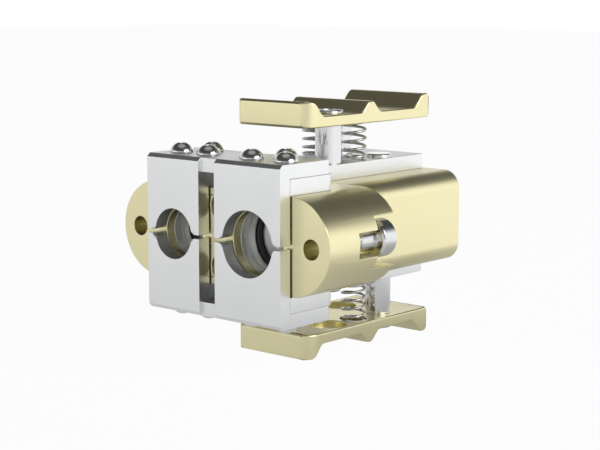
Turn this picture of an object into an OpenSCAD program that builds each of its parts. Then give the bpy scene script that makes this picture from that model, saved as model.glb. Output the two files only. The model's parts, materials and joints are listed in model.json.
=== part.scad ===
// Twin port squeeze-grip quick connector for liquid cooling lines.
// Two finger plates are squeezed together. Each one carries the jaw on the far side, so the jaws part.
// Millimetres, +Z up. The ports face -Y. Each sub-part is laid out about the middle of the jaws' front
// face, and at_rest() stands the whole on the lower finger plate's crests.

/* [Ports] */
// Distance between the two port axes
port_pitch = 27; // [26:0.5:28]
// How far the pair of ports lies to the left of the middle
port_shift = 0.4; // [0:0.1:0.6]
// Diameter of the large port's opening in the jaws
large_bore = 17.5; // [16.5:0.1:17.9]
// Diameter of the small port's opening in the jaws
small_bore = 13.6; // [12.6:0.1:14]
// Wall of the steel sleeve in each port
sleeve_wall = 1.3; // [1:0.1:1.4]
// Depth of the bare mouth in front of each sleeve
mouth_depth = 3; // [2:0.5:3.5]
// Length of each sleeve
sleeve_length = 5.6; // [4.6:0.2:6.4]
// Thickness of the port seals' cord
seal_cord = 1.8; // [1.6:0.1:2]
// Thickness of the flange behind each seal
seat_flange = 3; // [2:0.5:3.5]
// How far each seal stands proud of its seat
seal_proud = 1.4; // [1:0.1:1.4]
// Diameter of the coolant channel behind the large port
large_channel = 6.8; // [6:0.2:7]
// Diameter of the coolant channel behind the small port
small_channel = 5.2; // [4:0.2:5.6]
// Distance of the coolant channels from the middle
channel_x = 16.6; // [16:0.2:17]
// Core diameter of the large rear thread
large_thread = 15.2; // [14:0.2:15.6]
// Core diameter of the small rear thread
small_thread = 11.8; // [11:0.2:12.4]
// Distance of the rear threads from the middle
thread_x = 14; // [13.6:0.2:14.4]
// Depth of the rear threads
thread_depth = 11; // [9:0.5:12]

/* [Blocks] */
// Width across the flats of the front block, between the centres of its round cheeks
cheek_span = 49; // [48:0.5:50]
// Height of both blocks
block_h = 26.1; // [25.6:0.1:26.6]
// Length of the front block
front_len = 28.3; // [27.5:0.1:29]
// Width of the rear block
rear_w = 47.8; // [46.5:0.1:48.6]
// Length of the rear block
rear_len = 45.8; // [44.5:0.1:47]
// Radius of the rear block's long edges
rear_edge_r = 5.2; // [4:0.1:6]
// Gap between the front block and the jaws
jaw_gap = 0.4; // [0.3:0.05:0.6]
// Diameter of the two screws that join the blocks
block_screw_d = 4; // [3.5:0.5:4]
// Diameter of the counterbores for those screws
block_counterbore = 6.8; // [6.8:0.1:7.4]
// Height of those counterbores above and below the middle
block_screw_z = 8.1; // [7.6:0.1:8.6]

/* [Cheeks] */
// Distance of the mounting screws from the middle
mount_x = 31.2; // [30.8:0.1:31.6]
// Diameter of the mounting holes in the cheeks
mount_hole = 5.2; // [5:0.1:5.6]
// Core diameter of the thread behind each hole, which keeps its screw from getting lost
mount_thread = 4.8; // [4.4:0.1:4.9]
// Length of that thread
mount_grip = 4; // [3:0.5:5]
// Diameter of the mounting screws' heads
mount_head_d = 10.3; // [9.8:0.1:10.7]
// Length of the mounting screws' heads
mount_head_len = 5.6; // [5:0.1:6]
// Height of the notch behind each cheek
notch_h = 13.5; // [12.8:0.1:14]
// Depth of that notch
notch_depth = 8.4; // [8:0.1:9]
// Height of the slot in front of the notch
slot_h = 6.6; // [6.2:0.1:7]
// Length of that slot
slot_len = 7.8; // [7:0.1:8.4]

/* [Jaws] */
// Width of the jaw column round the small port
small_column = 19.4; // [18.6:0.1:20]
// Width of the jaw column round the large port
large_column = 23.2; // [22.4:0.1:24]
// Height of both jaws together
jaws_h = 42.4; // [41.6:0.1:43]
// Gap between the two jaws when they are shut
parting = 0.9; // [0.6:0.1:1.2]
// Thickness of the jaws' front walls
jaw_wall = 3.9; // [3.6:0.1:4.2]
// Depth of the jaws from front to back
jaw_depth = 19.1; // [18.8:0.1:20]
// Thickness of the jaws' outer plates
jaw_plate = 3.8; // [3.4:0.1:4]
// Chamfer along each jaw's front edge
jaw_chamfer = 1; // [0.6:0.1:1.2]
// Radius where an opening meets the gap between the jaws
lip_r = 1.6; // [1:0.1:2]
// Diameter of the jaw screws' domed heads
dome_d = 6.6; // [6:0.1:7]
// Height of the domed heads
dome_h = 2.6; // [2:0.1:3]
// Shank diameter of the jaw screws
jaw_screw_d = 3.5; // [3:0.1:3.5]
// Distance of the front pairs of jaw screws from the front face
jaw_screw_front = 8.6; // [8:0.1:9.4]
// Distance of the rear jaw screws from the front face
jaw_screw_rear = 15.4; // [15.2:0.1:15.6]

/* [Carriages] */
// Width of the carriages behind the jaws
carriage_w = 24; // [23:0.1:25]
// Length of the carriages' wide heads
carriage_head = 18.2; // [17.8:0.1:19]
// Corner radius of the wide heads
carriage_r = 3.5; // [2.5:0.1:4]
// Distance from the front face to the carriages' rear ends
carriage_end = 76.5; // [75:0.1:77.5]
// Width of the relief at the front of each carriage
relief_w = 7.5; // [6.5:0.5:7.5]
// Depth of that relief
relief_depth = 8; // [4:0.5:10]

/* [Posts and springs] */
// Diameter of the guide posts
post_d = 7.4; // [7:0.1:7.6]
// Distance of the posts and springs from the middle
post_x = 7.4; // [7.2:0.1:7.6]
// Distance of the front posts from the front face
post_front = 39.2; // [38.8:0.1:39.6]
// Distance of the rear posts from the front face
post_rear = 61.5; // [61:0.1:62]
// Play of the posts in the rear block, on the radius
post_play = 0.05; // [0.03:0.01:0.1]
// Room round the posts where they pass the other carriage, on the radius
pass_room = 0.3; // [0.2:0.05:0.5]
// How far each post stands out of the carriage that it is fixed in
post_stub = 1; // [0.6:0.1:1.4]
// Outer diameter of the springs
spring_d = 7.2; // [6.8:0.1:7.4]
// Wire of the springs
spring_wire = 0.75; // [0.65:0.05:0.8]
// Number of turns of the springs
spring_turns = 6.5; // [5.5:0.5:7]

/* [Finger plates] */
// Width of the finger plates
plate_w = 27.6; // [26.8:0.1:28.4]
// Distance from the front face to the plates' front ends
plate_start = 23.5; // [23.3:0.1:24]
// Length of the finger plates
plate_len = 53.8; // [53:0.1:54.6]
// Height of the plates' inner faces above and below the middle
plate_z = 28.1; // [27.8:0.1:28.6]
// Thickness of the plates under the finger grooves
groove_floor = 3.1; // [2.9:0.1:3.4]
// Thickness of the plates at their end ridges
ridge_h = 7; // [6.6:0.1:7.4]
// How much lower the middle ridge is than the end ridges
middle_drop = 0.9; // [0.5:0.1:1.2]
// Radius of the plates' front corners
plate_corner = 4.5; // [3.5:0.1:5]
// Radius of the plates' rear corners
plate_rear_corner = 1.5; // [1:0.1:2]
// Diameter of the pockets that clear the posts' free ends
post_pocket = 10.6; // [10:0.1:10.8]
// Depth of those pockets
post_pocket_depth = 2.3; // [1.8:0.1:2.4]
// Diameter of the pockets that seat the springs
spring_pocket = 7.8; // [7.6:0.1:8]
// Depth of the pockets that seat the springs
spring_pocket_depth = 2.3; // [1.8:0.1:2.4]
// Diameter of the heads that fasten the posts to the plates
plate_head_d = 8.5; // [8:0.1:9]
// Height of those heads
plate_head_h = 1; // [0.8:0.1:1.4]

/* [Hidden] */

$fn = 96;
gold = [0.86, 0.81, 0.64];
satin = [0.80, 0.81, 0.82];
steel = [0.72, 0.73, 0.75];
black = [0.09, 0.09, 0.09];
over = 0.5;  // how far a cutter reaches past the face that it cuts

// Port axes and the jaws' outline
large_x = port_pitch / 2 - port_shift;
small_x = -port_pitch / 2 - port_shift;
jaw_left = small_x - small_column / 2;
jaw_right = large_x + large_column / 2;
slot_left = small_x + small_column / 2;
slot_right = large_x - large_column / 2;
jaw_top = jaws_h / 2;
jaw_screw_grip = 2.3;  // length of thread in the carriage

// Blocks
block_top = block_h / 2;
cheek_x = cheek_span / 2;
cheek_r = block_h / 2;
block_front = jaw_wall + jaw_gap;
block_joint = block_front + front_len;
block_back = block_joint + rear_len;

// Carriages fill the height between the blocks and the jaws' outer plates
carriage_top = jaw_top - jaw_plate;
head_back = jaw_wall + carriage_head;

// Springs
spring_y = (post_front + post_rear) / 2;
spring_low = carriage_top;
spring_high = plate_z + spring_pocket_depth;
spring_mean_r = (spring_d - spring_wire) / 2;

// The whole stands on the flat crests of the lower plate's end ridges
stand_h = plate_z + ridge_h;
middle_y = block_back / 2;

// ---- Placing ---------------------------------------------------------------

module at_rest() {
    translate([0, -middle_y, stand_h]) children();
}

// The lower half of the mechanism is the upper half turned about the Y axis
module lower_half() {
    rotate([0, 180, 0]) children();
}

// A cylinder along +Y
module rod_y(x, y, z, r, len) {
    translate([x, y, z]) rotate([-90, 0, 0]) cylinder(r = r, h = len);
}

// A profile in the XZ plane carried along Y
module along_y(y, len) {
    translate([0, y + len, 0]) rotate([90, 0, 0]) linear_extrude(len) children();
}

// An upright cylinder
module rod_z(x, y, z, r, len) {
    translate([x, y, z]) cylinder(r = r, h = len);
}

module box(low, high) {
    translate(low) cube(high - low);
}

// A rectangle with two corner radii: r0 at low y, r1 at high y
module soft_rectangle(x0, y0, x1, y1, r0, r1) {
    difference() {
        translate([x0, y0]) square([x1 - x0, y1 - y0]);
        corner_cut(x0, y0, 1, 1, r0);
        corner_cut(x1, y0, -1, 1, r0);
        corner_cut(x0, y1, 1, -1, r1);
        corner_cut(x1, y1, -1, -1, r1);
    }
}

module corner_cut(x, y, sx, sy, r) {
    translate([x, y]) scale_signs(sx, sy) difference() {
        translate([-over, -over]) square(r + over);
        translate([r, r]) circle(r);
    }
}

module scale_signs(sx, sy) {
    mirror([sx < 0 ? 1 : 0, 0]) mirror([0, sy < 0 ? 1 : 0]) children();
}

// ---- Blocks and ports ------------------------------------------------------

// Everything bored for one port: mouth, sleeve, seat and the step across to the coolant channel
module port_cavity(x, bore, channel, side) {
    mouth_r = bore / 2;
    seat_r = bore / 2 + sleeve_wall;
    sleeve_front = block_front + mouth_depth;
    seat_back = seat_front() + cup_depth() + seat_flange;
    chamber_r = abs(side * channel_x - x) + channel / 2 + 0.6;
    rod_y(x, block_front - over, 0, mouth_r, mouth_depth + 2 * over);
    rod_y(x, sleeve_front, 0, seat_r, seat_back - sleeve_front);
    rod_y(x, seat_back - over, 0, chamber_r, 3 + over);
    rod_y(side * channel_x, seat_back, 0, channel / 2, block_joint - seat_back + over);
    translate([side * channel_x, block_joint, 0]) rotate([90, 0, 0])
        joint_groove(channel);
}

// Ring groove for the seal between the two blocks
joint_cord = 1.5;
module joint_groove(channel) {
    r = joint_seal_r(channel);
    difference() {
        translate([0, 0, -over]) cylinder(r = r + joint_cord / 2, h = joint_cord + over);
        translate([0, 0, -2 * over]) cylinder(r = r - joint_cord / 2, h = joint_cord + 4 * over);
    }
}
function joint_seal_r(channel) = channel / 2 + 0.8 + joint_cord / 2;

module cheek_cuts(side) {
    notch_front = block_joint - notch_depth;
    slot_front = notch_front - slot_len;
    mirror([side < 0 ? 1 : 0, 0, 0]) {
        rod_y(mount_x, block_front - over, 0, mount_hole / 2, slot_front - mount_grip - block_front + over);
        rod_y(mount_x, block_front, 0, mount_thread / 2, slot_front - block_front + over);
        box([mount_x - mount_head_d / 2 - 0.3, notch_front, -notch_h / 2],
            [cheek_x + cheek_r + over, block_joint + over, notch_h / 2]);
        box([mount_x - slot_h / 2, slot_front, -slot_h / 2],
            [cheek_x + cheek_r + over, notch_front + over, slot_h / 2]);
    }
}

module front_block() {
    color(gold) at_rest() difference() {
        along_y(block_front, front_len) union() {
            square([cheek_span, block_h], center = true);
            for (side = [-1, 1]) translate([side * cheek_x, 0]) circle(cheek_r);
        }
        port_cavity(large_x, large_bore, large_channel, 1);
        port_cavity(small_x, small_bore, small_channel, -1);
        for (side = [-1, 1]) cheek_cuts(side);
        for (side = [-1, 1]) {
            rod_y(-port_shift, block_front - over, side * block_screw_z, block_counterbore / 2,
                  block_counterbore_depth + over);
            rod_y(-port_shift, block_front, side * block_screw_z, block_screw_d / 2, front_len + over);
        }
    }
}

block_counterbore_depth = 10;
block_screw_grip = 10;  // length of thread in the rear block

module rear_block() {
    color(gold) at_rest() difference() {
        along_y(block_joint, rear_len)
            soft_rectangle(-rear_w / 2, -block_top, rear_w / 2, block_top, rear_edge_r, rear_edge_r);
        for (x = [-post_x, post_x], y = [post_front, post_rear])
            rod_z(x, y, -block_top - over, post_d / 2 + post_play, block_h + 2 * over);
        for (side = [-1, 1])
            rod_y(-port_shift, block_joint - over, side * block_screw_z, block_screw_d / 2,
                  block_screw_grip + over);
        rear_port(1, large_channel, large_thread);
        rear_port(-1, small_channel, small_thread);
    }
}

// Coolant channel and the thread's core behind it, with its lead-in
lead_in = 1;
module rear_port(side, channel, thread) {
    thread_front = block_back - thread_depth;
    rod_y(side * channel_x, block_joint - over, 0, channel / 2, thread_front - block_joint + 2 * over);
    rod_y(side * thread_x, thread_front, 0, thread / 2, thread_depth + over);
    translate([side * thread_x, block_back - lead_in, 0]) rotate([-90, 0, 0])
        cylinder(r1 = thread / 2, r2 = thread / 2 + 2 * lead_in, h = 2 * lead_in);
}

// Steel sleeve with a fine wiper groove part of the way down its bore
module sleeve(x, bore) {
    inner = bore / 2;
    front = block_front + mouth_depth;
    groove = 0.2;
    difference() {
        rod_y(x, front, 0, inner + sleeve_wall, sleeve_length);
        rod_y(x, front - over, 0, inner, sleeve_length + 2 * over);
        rod_y(x, front + sleeve_length * 0.45, 0, inner + groove, 2 * groove);
    }
}

module large_sleeve() {
    color(satin) at_rest() sleeve(large_x, large_bore);
}

module small_sleeve() {
    color(satin) at_rest() sleeve(small_x, small_bore);
}

// Sealing ring in the seat's cup, right behind the sleeve
function seat_front() = block_front + mouth_depth + sleeve_length;
function cup_depth() = seal_cord + seal_room;
function cup_r(bore) = bore / 2 + 0.8;
seal_room = 0.3;  // space between the sleeve's end and the seal
module port_seal(x, bore) {
    translate([x, seat_front() + seal_room + seal_cord / 2, 0]) rotate([-90, 0, 0]) rotate_extrude()
        translate([cup_r(bore) - seal_cord / 2, 0]) circle(seal_cord / 2, $fn = 32);
}

module large_seal() {
    color(black) at_rest() port_seal(large_x, large_bore);
}

module small_seal() {
    color(black) at_rest() port_seal(small_x, small_bore);
}

// Seat: a cup that holds the seal, a boss inside the seal, and a passage with a countersunk mouth
module seat(x, bore, channel) {
    inner = bore / 2;
    boss_front = seat_front() + seal_room + seal_proud;
    boss_len = seal_cord + seat_flange - seal_proud;
    passage = channel / 2 - 0.4;
    difference() {
        union() {
            difference() {
                rod_y(x, seat_front(), 0, inner + sleeve_wall, cup_depth() + seat_flange);
                rod_y(x, seat_front() - over, 0, cup_r(bore), cup_depth() + over);
            }
            rod_y(x, boss_front, 0, cup_r(bore) - seal_cord, boss_len);
        }
        rod_y(x, boss_front - over, 0, passage, boss_len + 2 * over);
        translate([x, boss_front - over, 0]) rotate([-90, 0, 0])
            cylinder(r1 = passage + 1 + over, r2 = passage, h = 1 + over);
    }
}

module large_seat() {
    color(satin) at_rest() seat(large_x, large_bore, large_channel);
}

module small_seat() {
    color(satin) at_rest() seat(small_x, small_bore, small_channel);
}

module joint_seal(side, channel) {
    translate([side * channel_x, block_joint - joint_cord / 2, 0]) rotate([-90, 0, 0]) rotate_extrude()
        translate([joint_seal_r(channel), 0]) circle(joint_cord / 2, $fn = 32);
}

module large_joint_seal() {
    color(black) at_rest() joint_seal(1, large_channel);
}

module small_joint_seal() {
    color(black) at_rest() joint_seal(-1, small_channel);
}

// ---- Screws ----------------------------------------------------------------

// A hexagon socket cut downwards from z = 0
module hex_socket(across, depth) {
    translate([0, 0, -depth]) cylinder(d = across / cos(30), h = depth + over, $fn = 6);
}

// Cap screw with its head's seat at z = 0, the head above and the shank below
module cap_screw(head_d, head_h, shank_d, shank_len, socket) {
    rim = 0.4;
    difference() {
        union() {
            cylinder(d = head_d, h = head_h - rim);
            translate([0, 0, head_h - rim]) cylinder(d1 = head_d, d2 = head_d - 2 * rim, h = rim);
            translate([0, 0, -shank_len]) cylinder(d = shank_d, h = shank_len + 0.01);
        }
        translate([0, 0, head_h]) hex_socket(socket, head_h * 0.6);
    }
}

module block_screws() {
    seat_y = block_front + block_counterbore_depth;
    shank = block_joint + block_screw_grip - seat_y;
    color(steel) at_rest() for (side = [-1, 1])
        translate([-port_shift, seat_y, side * block_screw_z]) rotate([90, 0, 0])
            cap_screw(block_counterbore - 0.2, block_screw_d, block_screw_d, shank, 3);
}

// Captive mounting screw: head in the cheek's notch, necked shank, thread in the cheek's hole
module mount_screw(side) {
    notch_front = block_joint - notch_depth;
    slot_front = notch_front - slot_len;
    head_front = block_joint + 0.8 - mount_head_len;
    shank_r = mount_hole / 2 + 0.3;
    neck_y = slot_front + 4;
    tip_y = slot_front + 0.5;
    translate([side * mount_x, 0, 0]) difference() {
        union() {
            translate([0, head_front, 0]) rotate([-90, 0, 0]) {
                cylinder(d1 = mount_head_d - 1.2, d2 = mount_head_d, h = 0.6);
                translate([0, 0, 0.6]) cylinder(d = mount_head_d, h = mount_head_len - 1);
                translate([0, 0, mount_head_len - 0.4])
                    cylinder(d1 = mount_head_d, d2 = mount_head_d - 0.8, h = 0.4);
            }
            rod_y(0, neck_y + 1, 0, shank_r, head_front - neck_y - 1 + 0.01);
            rod_y(0, neck_y, 0, shank_r - 0.5, 1.01);
            rod_y(0, tip_y + 0.3, 0, shank_r, neck_y - tip_y - 0.29);
            translate([0, tip_y, 0]) rotate([-90, 0, 0])
                cylinder(r1 = shank_r - 0.3, r2 = shank_r, h = 0.31);
            rod_y(0, slot_front - mount_grip, 0, mount_thread / 2, mount_grip + 0.51);
        }
        translate([0, head_front + mount_head_len, 0]) rotate([-90, 0, 0]) hex_socket(5, 3);
    }
}

module right_mount_screw() {
    color(steel) at_rest() mount_screw(1);
}

module left_mount_screw() {
    color(steel) at_rest() mount_screw(-1);
}

// Domed screw with its seat at z = 0
module dome_screw(shank_len) {
    cap_r = (dome_d * dome_d / 4 + dome_h * dome_h) / (2 * dome_h);
    difference() {
        union() {
            intersection() {
                translate([0, 0, dome_h - cap_r]) sphere(cap_r);
                cylinder(d = dome_d, h = dome_h);
            }
            translate([0, 0, -shank_len]) cylinder(d = jaw_screw_d, h = shank_len + 0.01);
        }
        translate([0, 0, dome_h]) hex_socket(2, 1.5);
    }
}

// ---- Jaws and carriages ----------------------------------------------------

// Places of the three screws in each jaw column: a pair in front and one behind
function column_screws(x, column) = [
    [x - column / 4 - 0.2, jaw_screw_front],
    [x + column / 4 + 0.2, jaw_screw_front],
    [x, jaw_screw_rear]
];
jaw_screw_places = concat(column_screws(small_x, small_column), column_screws(large_x, large_column));

module upper_screws() {
    for (place = jaw_screw_places)
        translate([place[0], place[1], jaw_top]) dome_screw(jaw_plate + jaw_screw_grip);
}

module screw_holes(low, high) {
    for (place = jaw_screw_places) rod_z(place[0], place[1], low, jaw_screw_d / 2, high - low);
}

// Half of a port's opening with its rounded lips, in the jaw's front profile
module opening(x, bore) {
    r = bore / 2;
    reach = sqrt(pow(r + lip_r, 2) - pow(parting / 2 + lip_r, 2));
    touch = r / (r + lip_r);
    translate([x, 0]) {
        circle(r);
        for (side = [-1, 1]) difference() {
            polygon([[0, 0], [side * reach, 0], [side * reach, parting / 2 + lip_r],
                     [side * reach * touch, (parting / 2 + lip_r) * touch]]);
            translate([side * reach, parting / 2 + lip_r]) circle(lip_r);
        }
    }
}

module upper_jaw_solid() {
    difference() {
        union() {
            along_y(0, jaw_wall) difference() {
                translate([jaw_left, parting / 2]) square([jaw_right - jaw_left, jaw_top - parting / 2]);
                translate([slot_left, 0]) square([slot_right - slot_left, carriage_top]);
                opening(large_x, large_bore);
                opening(small_x, small_bore);
            }
            box([jaw_left, jaw_wall - 0.01, carriage_top], [jaw_right, jaw_depth, jaw_top]);
        }
        box([slot_left, -over, carriage_top - 0.01], [slot_right, jaw_chamfer, jaw_top + over]);
        front_chamfer();
        screw_holes(carriage_top - over, jaw_top + over);
    }
}

module front_chamfer() {
    reach = jaw_chamfer + over;
    width = jaw_right - jaw_left + 2 * over;
    translate([jaw_left - over, 0, jaw_top]) rotate([90, 0, 90]) linear_extrude(width)
        polygon([[-over, -reach], [-over, over], [reach, over]]);
}

// A wide head under the jaw and a narrow tail over the rear block
module upper_carriage_solid() {
    relief_x = (slot_left + slot_right) / 2;
    difference() {
        translate([0, 0, block_top]) linear_extrude(carriage_top - block_top) difference() {
            union() {
                soft_rectangle(jaw_left, jaw_wall, jaw_right, head_back, 0.01, carriage_r);
                soft_rectangle(-carriage_w / 2, head_back - 1, carriage_w / 2, carriage_end, 0.01, 0.4);
            }
            translate([relief_x - relief_w / 2, jaw_wall - over]) square([relief_w, relief_depth + over]);
        }
        for (place = fixed_posts) rod_z(place[0], place[1], 0, post_d / 2, jaw_top);
        for (place = passing_posts) rod_z(place[0], place[1], 0, post_d / 2 + pass_room, jaw_top);
        screw_holes(carriage_top - jaw_screw_grip, carriage_top + over);
    }
}

// Posts fixed in the upper carriage come up from the lower plate; the others pass it on their way down
fixed_posts = [[-post_x, post_front], [post_x, post_rear]];
passing_posts = [[post_x, post_front], [-post_x, post_rear]];

// ---- Finger plates, posts and springs --------------------------------------

// Side profile of an upper plate, front to back along the first axis, standing on the line y = 0.
// Ridges and groove floors join in S-curves.
crest_r = 1.6;
front_flat = 2.2;
groove_slope = 4.6;
middle_y0 = plate_start + 26.8;
rear_crest = plate_start + plate_len - 2.2;
middle_h = ridge_h - middle_drop;

// A smooth rise from 0 to 1
function ease(t) = (1 - cos(180 * t)) / 2;
slope_steps = 9;
function slope(y0, h0, y1, h1) = [
    for (i = [0:slope_steps]) [y0 + (y1 - y0) * i / slope_steps, h0 + (h1 - h0) * ease(i / slope_steps)]
];
function arc(cy, cz, r, from, to, n = 6) = [
    for (i = [0:n]) let (a = from + (to - from) * i / n) [cy + r * cos(a), cz + r * sin(a)]
];

plate_end = plate_start + plate_len;
edge_r = 0.8;
plate_outline = concat(
    arc(plate_start + edge_r, edge_r, edge_r, 270, 180),
    arc(plate_start + edge_r, ridge_h - edge_r, edge_r, 180, 90),
    slope(plate_start + front_flat, ridge_h, plate_start + front_flat + groove_slope, groove_floor),
    slope(middle_y0 - groove_slope, groove_floor, middle_y0 - 0.4, middle_h),
    slope(middle_y0 + 0.4, middle_h, middle_y0 + groove_slope, groove_floor),
    slope(rear_crest - groove_slope - 1.2, groove_floor, rear_crest - 0.4, ridge_h),
    arc(plate_end - crest_r, ridge_h - crest_r, crest_r, 90, 0),
    arc(plate_end - edge_r, edge_r, edge_r, 0, -90)
);

module upper_plate_solid() {
    difference() {
        intersection() {
            translate([-plate_w / 2, 0, plate_z]) rotate([90, 0, 90]) linear_extrude(plate_w)
                polygon(plate_outline);
            translate([0, 0, plate_z - over]) linear_extrude(ridge_h + 2 * over)
                soft_rectangle(-plate_w / 2, plate_start - over, plate_w / 2, plate_end + over,
                               plate_corner + over, plate_rear_corner + over);
        }
        for (place = passing_posts)
            rod_z(place[0], place[1], plate_z - over, spigot_r, ridge_h + over);
        for (place = fixed_posts)
            rod_z(place[0], place[1], plate_z - over, post_pocket / 2, post_pocket_depth + over);
        for (x = [-post_x, post_x])
            rod_z(x, spring_y, plate_z - over, spring_pocket / 2, spring_pocket_depth + over);
    }
}
spigot_r = post_d / 2 - 1.1;
plate_screw_r = 1.5;
plate_screw_len = 9;

// A post that hangs from the upper plate, with a spigot in the plate and its foot in the lower carriage
module upper_post_solid(place) {
    foot = carriage_top + post_stub;
    bevel = 0.4;
    translate([place[0], place[1], 0]) difference() {
        union() {
            translate([0, 0, bevel - foot]) cylinder(d = post_d, h = plate_z + foot - bevel);
            translate([0, 0, -foot]) cylinder(d1 = post_d - 2 * bevel, d2 = post_d, h = bevel);
            translate([0, 0, plate_z]) cylinder(r = spigot_r, h = groove_floor);
        }
        translate([0, 0, plate_z + groove_floor - plate_screw_len])
            cylinder(r = plate_screw_r, h = plate_screw_len + over);
    }
}

module upper_plate_screws_solid() {
    for (place = passing_posts)
        translate([place[0], place[1], plate_z + groove_floor])
            cap_screw(plate_head_d, plate_head_h, 2 * plate_screw_r, plate_screw_len, 3);
}

// Compression spring on the upper carriage: closed end turns, open ones between
spring_sides = 8;
spring_per_turn = 18;
spring_rings = round(spring_turns * spring_per_turn);
closed = 1;  // closed turns at each end
open_turns = spring_turns - 2 * closed;
open_rise = spring_high - spring_low - spring_wire * (1 + 2 * closed);
function spring_height(turn) =
    let (low_end = min(turn, closed),
         middle = min(max(turn - closed, 0), open_turns),
         high_end = max(turn - spring_turns + closed, 0))
    (low_end + high_end) * spring_wire + open_rise * middle / open_turns;

module spring(x, low, high) {
    points = [
        for (i = [0:spring_rings], j = [0:spring_sides - 1])
            let (turn = i / spring_per_turn,
                 around = 360 * turn,
                 section = 360 * j / spring_sides,
                 r = spring_mean_r + spring_wire / 2 * 0.98 * cos(section))
            [r * cos(around), r * sin(around),
             spring_wire / 2 + spring_height(turn) + spring_wire / 2 * 0.98 * sin(section)]
    ];
    sides = [
        for (i = [0:spring_rings - 1], j = [0:spring_sides - 1])
            let (a = i * spring_sides + j,
                 b = i * spring_sides + (j + 1) % spring_sides)
            [a, b, b + spring_sides, a + spring_sides]
    ];
    first = [for (j = [spring_sides - 1:-1:0]) j];
    last = [for (j = [0:spring_sides - 1]) spring_rings * spring_sides + j];
    translate([x, spring_y, low]) polyhedron(points, concat([first], sides, [last]));
}

// ---- Named sub-parts of the two slides and the springs ----------------------

module upper_right_spring() {
    color(steel) at_rest() spring(post_x, spring_low, spring_high);
}

module upper_left_spring() {
    color(steel) at_rest() spring(-post_x, spring_low, spring_high);
}

module lower_right_spring() {
    color(steel) at_rest() lower_half() spring(-post_x, spring_low, spring_high);
}

module lower_left_spring() {
    color(steel) at_rest() lower_half() spring(post_x, spring_low, spring_high);
}

module upper_jaw() {
    color(satin) at_rest() upper_jaw_solid();
}

module lower_jaw() {
    color(satin) at_rest() mirror([0, 0, 1]) upper_jaw_solid();
}

module upper_carriage() {
    color(satin) at_rest() upper_carriage_solid();
}

module lower_carriage() {
    color(satin) at_rest() mirror([0, 0, 1]) upper_carriage_solid();
}

module upper_jaw_screws() {
    color(steel) at_rest() upper_screws();
}

module lower_jaw_screws() {
    color(steel) at_rest() mirror([0, 0, 1]) upper_screws();
}

module upper_finger_plate() {
    color(gold) at_rest() upper_plate_solid();
}

module lower_finger_plate() {
    color(gold) at_rest() lower_half() upper_plate_solid();
}

module upper_front_post() {
    color(steel) at_rest() upper_post_solid(passing_posts[0]);
}

module upper_rear_post() {
    color(steel) at_rest() upper_post_solid(passing_posts[1]);
}

module lower_front_post() {
    color(steel) at_rest() lower_half() upper_post_solid(passing_posts[0]);
}

module lower_rear_post() {
    color(steel) at_rest() lower_half() upper_post_solid(passing_posts[1]);
}

module upper_plate_screws() {
    color(steel) at_rest() upper_plate_screws_solid();
}

module lower_plate_screws() {
    color(steel) at_rest() lower_half() upper_plate_screws_solid();
}

front_block();
rear_block();
large_sleeve();
small_sleeve();
large_seal();
small_seal();
large_seat();
small_seat();
large_joint_seal();
small_joint_seal();
block_screws();
right_mount_screw();
left_mount_screw();
upper_right_spring();
upper_left_spring();
lower_right_spring();
lower_left_spring();
upper_jaw();
upper_carriage();
upper_jaw_screws();
lower_finger_plate();
lower_front_post();
lower_rear_post();
lower_plate_screws();
lower_jaw();
lower_carriage();
lower_jaw_screws();
upper_finger_plate();
upper_front_post();
upper_rear_post();
upper_plate_screws();
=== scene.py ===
import json
import math

import bmesh
import bpy
from mathutils import Euler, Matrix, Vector


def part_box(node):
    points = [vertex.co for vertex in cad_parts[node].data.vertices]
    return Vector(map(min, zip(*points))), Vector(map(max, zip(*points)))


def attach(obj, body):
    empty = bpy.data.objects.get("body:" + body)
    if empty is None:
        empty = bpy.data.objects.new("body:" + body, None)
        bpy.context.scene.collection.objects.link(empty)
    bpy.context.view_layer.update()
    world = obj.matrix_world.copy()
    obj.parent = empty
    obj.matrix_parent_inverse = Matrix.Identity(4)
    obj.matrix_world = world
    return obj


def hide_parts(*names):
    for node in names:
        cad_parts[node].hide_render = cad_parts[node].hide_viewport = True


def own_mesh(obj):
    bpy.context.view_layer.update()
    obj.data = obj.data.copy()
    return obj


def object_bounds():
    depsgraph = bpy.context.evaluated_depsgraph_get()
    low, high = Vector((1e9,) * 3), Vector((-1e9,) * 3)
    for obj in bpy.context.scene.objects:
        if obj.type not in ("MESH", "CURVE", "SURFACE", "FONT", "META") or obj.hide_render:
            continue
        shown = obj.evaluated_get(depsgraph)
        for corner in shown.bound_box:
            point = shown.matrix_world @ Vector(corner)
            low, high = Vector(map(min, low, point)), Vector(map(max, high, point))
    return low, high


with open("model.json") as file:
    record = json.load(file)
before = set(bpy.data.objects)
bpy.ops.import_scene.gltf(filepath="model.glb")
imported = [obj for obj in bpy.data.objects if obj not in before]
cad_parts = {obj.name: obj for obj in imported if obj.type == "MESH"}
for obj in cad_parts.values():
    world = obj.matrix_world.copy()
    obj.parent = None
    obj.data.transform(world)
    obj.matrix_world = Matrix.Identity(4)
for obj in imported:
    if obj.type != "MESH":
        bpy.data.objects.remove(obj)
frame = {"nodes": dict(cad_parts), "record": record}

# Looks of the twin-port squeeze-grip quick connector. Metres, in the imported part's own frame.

MM = 0.001
cad_low, cad_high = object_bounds()
mid_height = (cad_low[2] + cad_high[2]) / 2
scene = bpy.context.scene


# ---- Shader maths ----------------------------------------------------------

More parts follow.
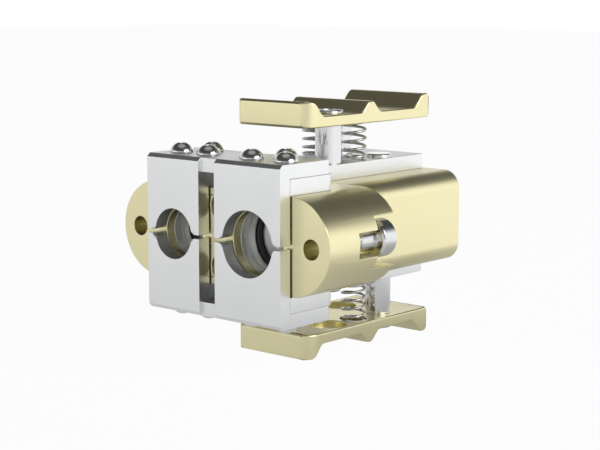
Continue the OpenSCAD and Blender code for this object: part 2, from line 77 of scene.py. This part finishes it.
class Wire:
    """A value in a node tree. Arithmetic on it adds Math nodes."""

    def __init__(self, tree, socket):
        self.tree = tree
        self.socket = socket

    def maths(self, operation, *values):
        return add_node(self.tree, "ShaderNodeMath", {"operation": operation},
                        dict(enumerate(values)))

    def __add__(self, other):
        return self.maths("ADD", self, other)

    def __radd__(self, other):
        return self.maths("ADD", other, self)

    def __sub__(self, other):
        return self.maths("SUBTRACT", self, other)

    def __rsub__(self, other):
        return self.maths("SUBTRACT", other, self)

    def __mul__(self, other):
        return self.maths("MULTIPLY", self, other)

    def __rmul__(self, other):
        return self.maths("MULTIPLY", other, self)

    def __truediv__(self, other):
        return self.maths("DIVIDE", self, other)

    def __pow__(self, other):
        return self.maths("POWER", self, other)

    def at_least(self, other):
        return self.maths("MAXIMUM", self, other)

    def ramp(self, low, high):
        """0 below low, 1 above high, and a smooth rise between."""
        return add_node(self.tree, "ShaderNodeMapRange", {"interpolation_type": "SMOOTHSTEP"},
                        {"Value": self, "From Min": low, "From Max": high})


def add_node(tree, kind, settings=None, sockets=None, output=0):
    """Adds one node: settings first, then socket values or links. Gives one output as a Wire."""
    node = tree.nodes.new(kind)
    for name, value in (settings or {}).items():
        setattr(node, name, value)
    for name, value in (sockets or {}).items():
        if isinstance(value, Wire):
            tree.links.new(value.socket, node.inputs[name])
        else:
            node.inputs[name].default_value = value
    return Wire(tree, node.outputs[output])


def axes(tree, place):
    """The X, Y and Z of a vector."""
    split = add_node(tree, "ShaderNodeSeparateXYZ", None, {"Vector": place}).socket.node
    return [Wire(tree, split.outputs[axis]) for axis in "XYZ"]


# A Mix node's colour sockets, by number, because its other sockets have the same names.
MIX_FIRST, MIX_SECOND, MIX_RESULT = 6, 7, 2


class Finish:
    """A material on the Principled shader, with its coordinates in the part's own frame."""

    def __init__(self, name, **constants):
        self.material = bpy.data.materials.new(name)
        self.material.use_nodes = True
        self.tree = self.material.node_tree
        self.shader = self.tree.nodes["Principled BSDF"]
        for socket, value in constants.items():
            self.shader.inputs[socket.replace("_", " ")].default_value = value
        self.place = self.add("ShaderNodeTexCoord", output="Object")

    def add(self, kind, settings=None, sockets=None, output=0):
        return add_node(self.tree, kind, settings, sockets, output)

    def noise(self, size, detail=3.0, stretch=(1, 1, 1)):
        """Noise from 0 to 1 whose features are about that many metres across."""
        place = self.add("ShaderNodeVectorMath", {"operation": "MULTIPLY"},
                         {0: self.place, 1: stretch})
        return self.add("ShaderNodeTexNoise", None,
                        {"Vector": place, "Scale": 1 / size, "Detail": detail})

    def colour(self, mask, first, second):
        """One colour where the mask is 0 and the other where it is 1."""
        return self.add("ShaderNodeMix", {"data_type": "RGBA"},
                        {"Factor": mask, MIX_FIRST: (*first, 1), MIX_SECOND: (*second, 1)},
                        output=MIX_RESULT)

    def feed(self, **inputs):
        for socket, value in inputs.items():
            self.tree.links.new(value.socket, self.shader.inputs[socket.replace("_", " ")])

    def bump(self, height, depth, strength):
        """Relief whose height runs from 0 to 1 over that many metres."""
        self.feed(Normal=self.add("ShaderNodeBump", None,
                                  {"Height": height, "Distance": depth, "Strength": strength},
                                  output="Normal"))


# ---- Finishes --------------------------------------------------------------

def gold_anodising():
    """Body and finger plates: satin under the dye, with slight clouds in its colour."""
    finish = Finish("gold_anodised", Metallic=1.0)
    grain = finish.noise(0.22 * MM, 2)
    cloud = finish.noise(14 * MM, 3)
    patch = finish.noise(2.5 * MM, 3)
    finish.feed(
        Base_Color=finish.colour(cloud * 0.7 + patch * 0.3,
                                 (0.800, 0.742, 0.450), (0.860, 0.802, 0.510)),
        Roughness=0.27 + grain * 0.05 + cloud * 0.04)
    finish.bump(grain, 0.004 * MM, 0.6)
    return finish.material


def blasted_aluminium():
    """Jaws and carriages: clear anodised over a bead blasted grain."""
    finish = Finish("blasted_aluminium", Metallic=1.0)
    grain = finish.noise(0.35 * MM, 2)
    cloud = finish.noise(11 * MM, 3)
    finish.feed(
        Base_Color=finish.colour(cloud * 0.4 + grain * 0.6,
                                 (0.760, 0.772, 0.780), (0.880, 0.888, 0.892)),
        Roughness=0.30 + grain * 0.07 + cloud * 0.04)
    finish.bump(grain, 0.005 * MM, 0.6)
    return finish.material


def turned_steel():
    """Sleeves and seats: fine rings about the Y axis, left by the lathe."""
    finish = Finish("turned_steel", Metallic=1.0)
    rings = finish.noise(0.15 * MM, 2, (0.002, 1, 0.002))
    cloud = finish.noise(4 * MM, 2)
    finish.feed(
        Base_Color=finish.colour(rings, (0.780, 0.785, 0.785), (0.860, 0.862, 0.860)),
        Roughness=0.30 + rings * 0.08 + cloud * 0.05)
    finish.bump(rings, 0.002 * MM, 0.5)
    return finish.material


def ground_steel():
    """Posts: ground smooth, with faint rings across and light rub marks along their travel."""
    finish = Finish("ground_steel", Metallic=1.0)
    rings = finish.noise(0.10 * MM, 2, (0.02, 0.02, 1))
    rubs = finish.noise(0.5 * MM, 3, (1, 1, 0.03))
    finish.feed(
        Base_Color=finish.colour(rubs, (0.700, 0.705, 0.715), (0.770, 0.775, 0.780)),
        Roughness=0.07 + rings * 0.04 + rubs * 0.04)
    finish.bump(rings, 0.002 * MM, 0.4)
    return finish.material


def polished_steel():
    """Screws: cold formed and tumbled."""
    finish = Finish("polished_steel", Metallic=1.0)
    dents = finish.noise(0.7 * MM, 3)
    cloud = finish.noise(3 * MM, 2)
    finish.feed(
        Base_Color=finish.colour(cloud, (0.660, 0.665, 0.670), (0.760, 0.762, 0.765)),
        Roughness=0.14 + dents * 0.08)
    finish.bump(dents, 0.006 * MM, 0.5)
    return finish.material


def spring_wire_steel():
    """Springs: cold drawn wire."""
    finish = Finish("spring_wire", Metallic=1.0)
    drawn = finish.noise(0.3 * MM, 3)
    finish.feed(
        Base_Color=finish.colour(drawn, (0.500, 0.505, 0.510), (0.640, 0.640, 0.640)),
        Roughness=0.20 + drawn * 0.12)
    finish.bump(drawn, 0.004 * MM, 0.5)
    return finish.material


def seal_rubber():
    """Seals: matt black, moulded."""
    finish = Finish("seal_rubber", Metallic=0.0)
    grain = finish.noise(0.15 * MM, 3)
    finish.feed(
        Base_Color=finish.colour(grain, (0.012, 0.012, 0.012), (0.030, 0.030, 0.030)),
        Roughness=0.38 + grain * 0.15)
    finish.bump(grain, 0.006 * MM, 0.6)
    return finish.material


gold = gold_anodising()
silver = blasted_aluminium()
turned = turned_steel()
ground = ground_steel()
polished = polished_steel()
wire_steel = spring_wire_steel()
rubber = seal_rubber()


# ---- CAD nodes with softened edges -----------------------------------------

body_of_node = {node: body for body, nodes in frame["record"]["behaviour"]["bodies"].items()
                for node in nodes}


SHARP = math.radians(32)  # a smaller angle between two faces is part of a curve
FLAT = math.radians(0.6)  # a smaller angle between two faces is none
WELD = 0.002 * MM

BLOCK_EDGE = 0.25 * MM
PLATE_EDGE = 0.5 * MM
PLATE_HOLE_RIM = 0.2 * MM
PLATE_HOLE_REACH = 5.5 * MM  # from a post's or spring's middle to past its hole's rim
JAW_EDGE = 0.15 * MM
TURNED_EDGE = 0.15 * MM
POST_EDGE = 0.1 * MM
SCREW_EDGE = 0.12 * MM


def soften(node, edge, material, steps=2, rim=None, is_rim=None, whole_faces=False):
    """A copy of a CAD node whose sharp edges are rounded over, standing for that node.

    Edges that is_rim picks out are rounded by rim instead of by edge. With whole_faces, each flat
    face is made one face first, which a wide rounding needs.
    """
    mesh = bpy.data.meshes.new(node + "_finished")
    work = bmesh.new()
    work.from_mesh(frame["nodes"][node].data)
    bmesh.ops.remove_doubles(work, verts=work.verts, dist=WELD)
    if whole_faces:
        bmesh.ops.dissolve_limit(work, angle_limit=FLAT, verts=work.verts, edges=work.edges)
    weight = work.edges.layers.float.new("bevel_weight_edge")
    for face in work.faces:
        face.smooth = True
    for line in work.edges:
        if len(line.link_faces) == 2 and line.calc_face_angle() > SHARP:
            line[weight] = rim / edge if is_rim and is_rim(line) else 1
    work.to_mesh(mesh)
    work.free()
    mesh.materials.clear()
    mesh.materials.append(material)
    piece = bpy.data.objects.new(node + "_finished", mesh)
    scene.collection.objects.link(piece)
    bevel = piece.modifiers.new("edge", "BEVEL")
    bevel.width = edge
    bevel.segments = steps
    bevel.limit_method = "WEIGHT"
    bevel.use_clamp_overlap = False
    even = piece.modifiers.new("even", "WEIGHTED_NORMAL")
    even.weight = 100
    even.keep_sharp = False
    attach(piece, body_of_node[node])
    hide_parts(node)


def small_hole(reach):
    """Picks out edges that lie round the posts and springs, where the plates' holes are."""
    places = []
    for name in ("upper_front_post", "upper_rear_post", "lower_front_post", "lower_rear_post",
                 "upper_right_spring", "upper_left_spring"):
        low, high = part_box(name)
        places.append((low + high).xy / 2)

    def found(line):
        return any(all((vert.co.xy - place).length < reach for vert in line.verts)
                   for place in places)
    return found


def paint(node, material):
    """A CAD node that keeps its own mesh."""
    mesh = frame["nodes"][node].data
    mesh.materials.clear()
    mesh.materials.append(material)


for node in ("front_block", "rear_block"):
    soften(node, BLOCK_EDGE, gold)
for node in ("upper_finger_plate", "lower_finger_plate"):
    soften(node, PLATE_EDGE, gold, 3, rim=PLATE_HOLE_RIM, is_rim=small_hole(PLATE_HOLE_REACH),
           whole_faces=True)
for node in ("upper_jaw", "lower_jaw", "upper_carriage", "lower_carriage"):
    soften(node, JAW_EDGE, silver)
for node in ("large_sleeve", "small_sleeve", "large_seat", "small_seat"):
    soften(node, TURNED_EDGE, turned)
for node in ("upper_front_post", "upper_rear_post", "lower_front_post", "lower_rear_post"):
    soften(node, POST_EDGE, ground)
for node in ("upper_jaw_screws", "lower_jaw_screws", "upper_plate_screws", "lower_plate_screws",
             "block_screws", "right_mount_screw", "left_mount_screw"):
    soften(node, SCREW_EDGE, polished)
for node in ("large_seal", "small_seal", "large_joint_seal", "small_joint_seal"):
    paint(node, rubber)


# ---- Springs ---------------------------------------------------------------

SPRING_TURNS = 6.5  # with the closed turn at each end
OPEN_TURNS = SPRING_TURNS - 2
WIRE_D = 0.75 * MM
GROUND_OFF = 0.12 * WIRE_D  # from the outer face of each end turn
STEPS_PER_TURN = 36
WIRE_SIDES = 12


def coil(name, node, body, up):
    """A wound spring with a closed and ground turn at each end, in the place of its CAD node."""
    low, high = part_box(node)
    centre = (low + high) / 2
    foot, way = (low.z, 1) if up else (high.z, -1)
    length = high.z - low.z
    radius = (high.x - low.x - WIRE_D) / 2
    open_rise = length - 3 * WIRE_D
    rings = []
    work = bmesh.new()
    for step in range(round(SPRING_TURNS * STEPS_PER_TURN) + 1):
        turn = step / STEPS_PER_TURN
        closed_low = min(turn, 1)
        open_part = min(max(turn - 1, 0), OPEN_TURNS) / OPEN_TURNS
        closed_high = max(turn - SPRING_TURNS + 1, 0)
        height = (closed_low + closed_high) * WIRE_D + open_rise * open_part + WIRE_D / 2
        around = math.tau * turn
        ring = []
        for side in range(WIRE_SIDES):
            section = math.tau * side / WIRE_SIDES
            r = radius + WIRE_D / 2 * math.cos(section)
            z = height + WIRE_D / 2 * math.sin(section)
            z = min(max(z, GROUND_OFF), length - GROUND_OFF)
            ring.append(work.verts.new((centre.x + way * r * math.cos(around),
                                        centre.y + r * math.sin(around), foot + way * z)))
        rings.append(ring)
    for first, second in zip(rings, rings[1:]):
        for side in range(WIRE_SIDES):
            after = (side + 1) % WIRE_SIDES
            work.faces.new((first[side], first[after], second[after], second[side]))
    work.faces.new(reversed(rings[0]))
    work.faces.new(rings[-1])
    for face in work.faces:
        face.smooth = True
    bmesh.ops.recalc_face_normals(work, faces=work.faces)
    mesh = bpy.data.meshes.new(name)
    work.to_mesh(mesh)
    work.free()
    mesh.materials.append(wire_steel)
    piece = bpy.data.objects.new(name, mesh)
    scene.collection.objects.link(piece)
    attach(piece, body)
    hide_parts(node)
    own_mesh(piece)


for side in ("right", "left"):
    coil(f"upper_{side}_coil", f"upper_{side}_spring", "upper_slide", True)
    coil(f"lower_{side}_coil", f"lower_{side}_spring", "lower_slide", False)


# ---- Floor, light and camera ------------------------------------------------

VIEW_AZIMUTH = math.radians(41.26)
VIEW_ELEVATION = math.radians(8.64)
CAMERA_LENS = 92.86
CAMERA_DISTANCE = 420.53 * MM
CAMERA_TO_RIGHT = 10.4 * MM
CAMERA_UPWARD = 1.46 * MM
AIM_BEHIND_PORTS = 20 * MM

# How bright the surroundings look in the metal, where 1 is white.
DIM_SIDE = 0.82
BRIGHT_SIDE = 1.20
# Painted shadow: the floor's glow that the metal reflects is darker under the part, by these two.
PAINTED_SHADE_UNDER_PART = 0.60
PAINTED_SHADE_SLANT = 0.24  # darker by this behind on the right, lighter by it in front on the left
OVERHEAD_DARK = 0.07
OVERHEAD_LAMP = 0.35
NEAR_STRIP_LOSS = 0.7  # a dark strip beside the camera, on its right

# Shares of the floor's own shade that plain light takes the place of.
FLOOR_TO_CAMERA = 0.96
FLOOR_IN_METAL = 0.9


def toward_right_back(x, y):
    """Runs from -1 on the left in front of the part to 1 on the right behind it."""
    return x * 0.66 + y * 0.75


def studio_floor():
    """White to the camera. To the metal it glows with painted light: a pale floor with a painted
    shadow that is darker close to the part.
    """
    mesh = bpy.data.meshes.new("floor")
    size = 3.0
    mesh.from_pydata([(-size, -size, 0), (size, -size, 0), (size, size, 0), (-size, size, 0)],
                     [], [(0, 1, 2, 3)])
    floor = bpy.data.objects.new("floor", mesh)
    scene.collection.objects.link(floor)
    floor.location.z = cad_low[2] - 0.1 * MM
    finish = Finish("floor", Base_Color=(0.86, 0.86, 0.86, 1), Roughness=0.9)
    tree = finish.tree
    x, y, _ = axes(tree, finish.place)
    far = ((x * x + y * y) ** 0.5).at_least(1 * MM)
    side = toward_right_back(x, y) / far
    # Painted shade and light: the glow is dimmed close to the part, as if in its shadow, and is
    # brighter behind on the right.
    under = PAINTED_SHADE_UNDER_PART - side * PAINTED_SHADE_SLANT
    floor_glow_with_painted_shadow = under + (1 - under) * far.ramp(0.03, 0.20)
    level = floor_glow_with_painted_shadow * (DIM_SIDE + (BRIGHT_SIDE - DIM_SIDE) * side.ramp(-1, 1))
    grey = finish.add("ShaderNodeCombineXYZ", None, {0: level, 1: level, 2: level})
    camera_ray = finish.add("ShaderNodeLightPath", output="Is Camera Ray")
    glossy_ray = finish.add("ShaderNodeLightPath", output="Is Glossy Ray")
    white = finish.add("ShaderNodeEmission", None, {"Color": (1, 1, 1, 1), "Strength": 1.0})
    shown = finish.add("ShaderNodeEmission", None, {"Color": grey, "Strength": 1.0})
    own = Wire(tree, finish.shader.outputs[0])
    to_camera = finish.add("ShaderNodeMixShader", None,
                           {0: camera_ray * FLOOR_TO_CAMERA, 1: own, 2: white})
    to_all = finish.add("ShaderNodeMixShader", None,
                        {0: glossy_ray * FLOOR_IN_METAL, 1: to_camera, 2: shown})
    tree.links.new(to_all.socket, tree.nodes["Material Output"].inputs["Surface"])
    mesh.materials.append(finish.material)


def studio_world():
    """White to the camera. To the metal it is a light tent: bright at eye level, dark overhead."""
    world = bpy.data.worlds.new("studio")
    scene.world = world
    world.use_nodes = True
    tree = world.node_tree
    tree.nodes.clear()
    toward = add_node(tree, "ShaderNodeTexCoord", output="Generated")
    x, y, z = axes(tree, toward)
    right = x * math.cos(VIEW_AZIMUTH) + y * math.sin(VIEW_AZIMUTH)
    back = y * math.cos(VIEW_AZIMUTH) - x * math.sin(VIEW_AZIMUTH)
    eye_level = 1 - z.ramp(0.24, 0.54)
    overhead = z.ramp(0.85, 0.98)
    near_strip = (1 - back.ramp(-0.99, -0.85)) * right.ramp(-0.06, 0.06)
    level = DIM_SIDE + (BRIGHT_SIDE - DIM_SIDE) * toward_right_back(x, y).ramp(-1, 1)
    tent = OVERHEAD_DARK + eye_level * (1 - OVERHEAD_DARK) * level + overhead * OVERHEAD_LAMP
    tent = tent * (1 - near_strip * NEAR_STRIP_LOSS)
    grey = add_node(tree, "ShaderNodeCombineXYZ", None, {0: tent, 1: tent, 2: tent})
    camera_ray = add_node(tree, "ShaderNodeLightPath", output="Is Camera Ray")
    seen = add_node(tree, "ShaderNodeBackground", None, {"Color": (1, 1, 1, 1), "Strength": 1.0})
    lit = add_node(tree, "ShaderNodeBackground", None, {"Color": grey, "Strength": 1.0})
    mix = add_node(tree, "ShaderNodeMixShader", None, {0: camera_ray, 1: lit, 2: seen})
    output = tree.nodes.new("ShaderNodeOutputWorld")
    tree.links.new(mix.socket, output.inputs["Surface"])


def from_part(azimuth, elevation):
    """The way out from the part. Azimuth 0 is before the ports, 90 on the large port's side."""
    level = math.cos(elevation)
    return Vector((math.sin(azimuth) * level, -math.cos(azimuth) * level, math.sin(elevation)))


def softbox(name, azimuth, elevation, distance, width, height, power):
    """A lamp that faces the part."""
    light = bpy.data.lights.new(name, "AREA")
    light.shape = "RECTANGLE"
    light.size = width
    light.size_y = height
    light.energy = power
    lamp = bpy.data.objects.new(name, light)
    azimuth, elevation = math.radians(azimuth), math.radians(elevation)
    aim = Vector((0, 0, mid_height))
    lamp.location = aim + distance * from_part(azimuth, elevation)
    lamp.rotation_euler = Euler((math.pi / 2 - elevation, 0, azimuth))
    scene.collection.objects.link(lamp)


def studio_camera():
    data = bpy.data.cameras.new("camera")
    data.sensor_width = 36
    data.lens = CAMERA_LENS
    camera = bpy.data.objects.new("camera", data)
    toward_camera = from_part(VIEW_AZIMUTH, VIEW_ELEVATION)
    right = Vector((math.cos(VIEW_AZIMUTH), math.sin(VIEW_AZIMUTH), 0))
    up = toward_camera.cross(right)
    aim = Vector((0, cad_low[1] + AIM_BEHIND_PORTS, mid_height))
    camera.location = (aim + CAMERA_DISTANCE * toward_camera
                       + CAMERA_TO_RIGHT * right + CAMERA_UPWARD * up)
    camera.rotation_euler = Euler((math.pi / 2 - VIEW_ELEVATION, 0, VIEW_AZIMUTH))
    scene.collection.objects.link(camera)
    scene.camera = camera


studio_floor()
studio_world()
softbox("key", 95, 32, 0.9, 0.6, 0.3, 3)
softbox("fill", -25, 12, 1.1, 0.8, 0.5, 0.8)
studio_camera()
scene.view_settings.view_transform = "Standard"
